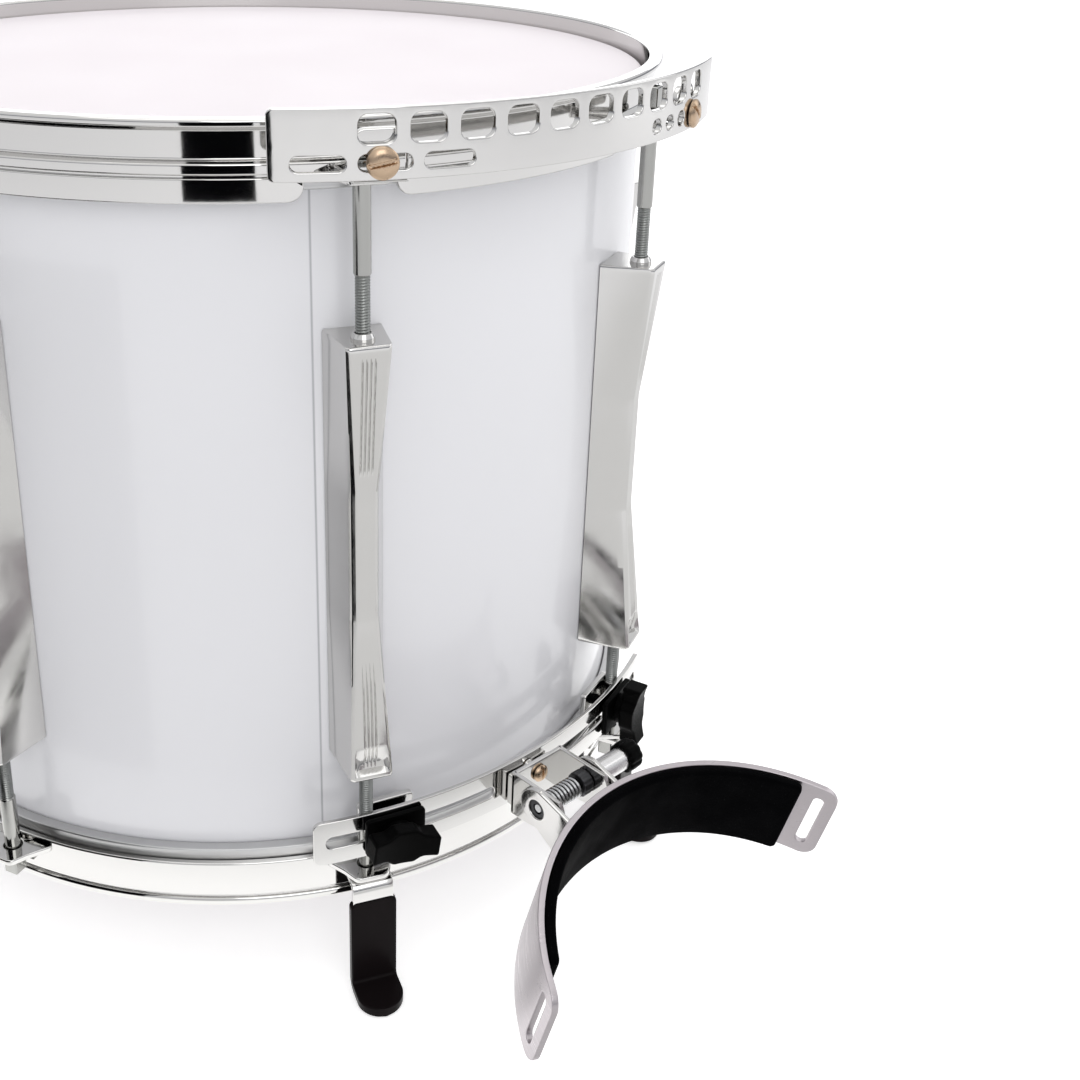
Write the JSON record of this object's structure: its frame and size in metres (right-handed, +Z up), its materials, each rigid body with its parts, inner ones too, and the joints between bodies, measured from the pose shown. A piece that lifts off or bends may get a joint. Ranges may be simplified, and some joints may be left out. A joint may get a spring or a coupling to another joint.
{
  "type": "marching snare drum",
  "caption": "Marching snare drum with full-length lugs, a perforated carrying rail at the top hoop, two dipped feet and a sprung, padded leg rest.",
  "frame": {"origin": "centre of the batter head's playing face", "axes": "+Z up out of the batter head, -Y towards the player, where the carrying rail and the leg rest are, +X to the player's left"},
  "size_m": [0.3863, 0.4827, 0.367],
  "materials": {
    "white_wrapped_wood": "gloss white wrap over the wooden shell",
    "coated_film": "coated white film",
    "plated_casting": "chromed casting",
    "plated_hoop": "chromed hoop",
    "chrome": "bright chrome",
    "brass": "bright brass",
    "bright_steel": "bright",
    "black_plastic": "satin black",
    "black_vinyl": "dipped black vinyl",
    "satin_aluminium": "satin",
    "pad_rubber": "matt black foam"
  },
  "bodies": {
    "drum": {"shell": "white_wrapped_wood", "air_vent": "chrome", "batter_head": "coated_film", "snare_head": "coated_film", "top_hoop": "plated_hoop", "bottom_hoop": "plated_hoop", "lug_1": "plated_casting", "lug_2": "plated_casting", "lug_3": "plated_casting", "lug_4": "plated_casting", "lug_5": "plated_casting", "lug_6": "plated_casting", "lug_7": "plated_casting", "lug_8": "plated_casting", "upper_rod_1": "chrome", "upper_rod_2": "chrome", "upper_rod_3": "chrome", "upper_rod_4": "chrome", "upper_rod_5": "chrome", "upper_rod_6": "chrome", "upper_rod_7": "chrome", "upper_rod_8": "chrome", "lower_rod_1": "chrome", "lower_rod_2": "chrome", "lower_rod_3": "chrome", "lower_rod_4": "chrome", "lower_rod_5": "chrome", "lower_rod_6": "chrome", "lower_rod_7": "chrome", "lower_rod_8": "chrome", "carrying_rail": "chrome", "rail_bracket_left": "chrome", "rail_bracket_right": "chrome", "rail_screw_left": "brass", "rail_screw_right": "brass", "lower_rail": "chrome", "clamp_plate_left": "black_plastic", "clamp_back_left": "chrome", "clamp_plate_right": "black_plastic", "clamp_back_right": "chrome", "foot_strap_left": "chrome", "foot_sleeve_left": "black_vinyl", "foot_strap_right": "chrome", "foot_sleeve_right": "black_vinyl", "leg_rest_mount": "chrome", "leg_rest_mount_screw": "brass", "leg_rest_axle": "bright_steel", "leg_rest_spring": "bright_steel", "leg_rest_bushing": "black_plastic", "strainer_body": "chrome", "butt_plate": "chrome", "snares": "bright_steel"},
    "leg_rest": {"leg_rest_bracket": "chrome", "leg_rest_plate": "satin_aluminium", "leg_rest_pad": "pad_rubber"},
    "leg_rest_knob_body": {"leg_rest_knob": "black_plastic"},
    "clamp_knob_left_body": {"clamp_knob_left": "black_plastic"},
    "clamp_knob_right_body": {"clamp_knob_right": "black_plastic"},
    "strainer_lever_body": {"strainer_lever": "chrome"},
    "strainer_knob_body": {"strainer_knob": "bright_steel"}
  },
  "joints": [
    {"name": "leg_rest_hinge", "type": "hinge", "parent": "drum", "child": "leg_rest", "pos_m": [0, -0.2173, -0.2747], "axis": [1, 0, 0], "range_deg": [-90, 60]},
    {"name": "leg_rest_knob_turn", "type": "hinge", "parent": "drum", "child": "leg_rest_knob_body", "pos_m": [0, -0.2173, -0.2747], "axis": [1, 0, 0], "continuous": true},
    {"name": "clamp_knob_left_turn", "type": "hinge", "parent": "drum", "child": "clamp_knob_left_body", "pos_m": [-0.06572, -0.1852, -0.2782], "axis": [-0.2974, -0.9548, 0], "continuous": true},
    {"name": "clamp_knob_right_turn", "type": "hinge", "parent": "drum", "child": "clamp_knob_right_body", "pos_m": [0.06572, -0.1852, -0.2782], "axis": [0.2974, -0.9548, 0], "continuous": true},
    {"name": "strainer_lever_swing", "type": "hinge", "parent": "drum", "child": "strainer_lever_body", "pos_m": [0.1946, 0, -0.2178], "axis": [1, 0, 0], "range_deg": [0, 100]},
    {"name": "strainer_knob_turn", "type": "hinge", "parent": "drum", "child": "strainer_knob_body", "pos_m": [0.1864, 0, -0.1946], "axis": [0, 0, 1], "continuous": true}
  ]
}
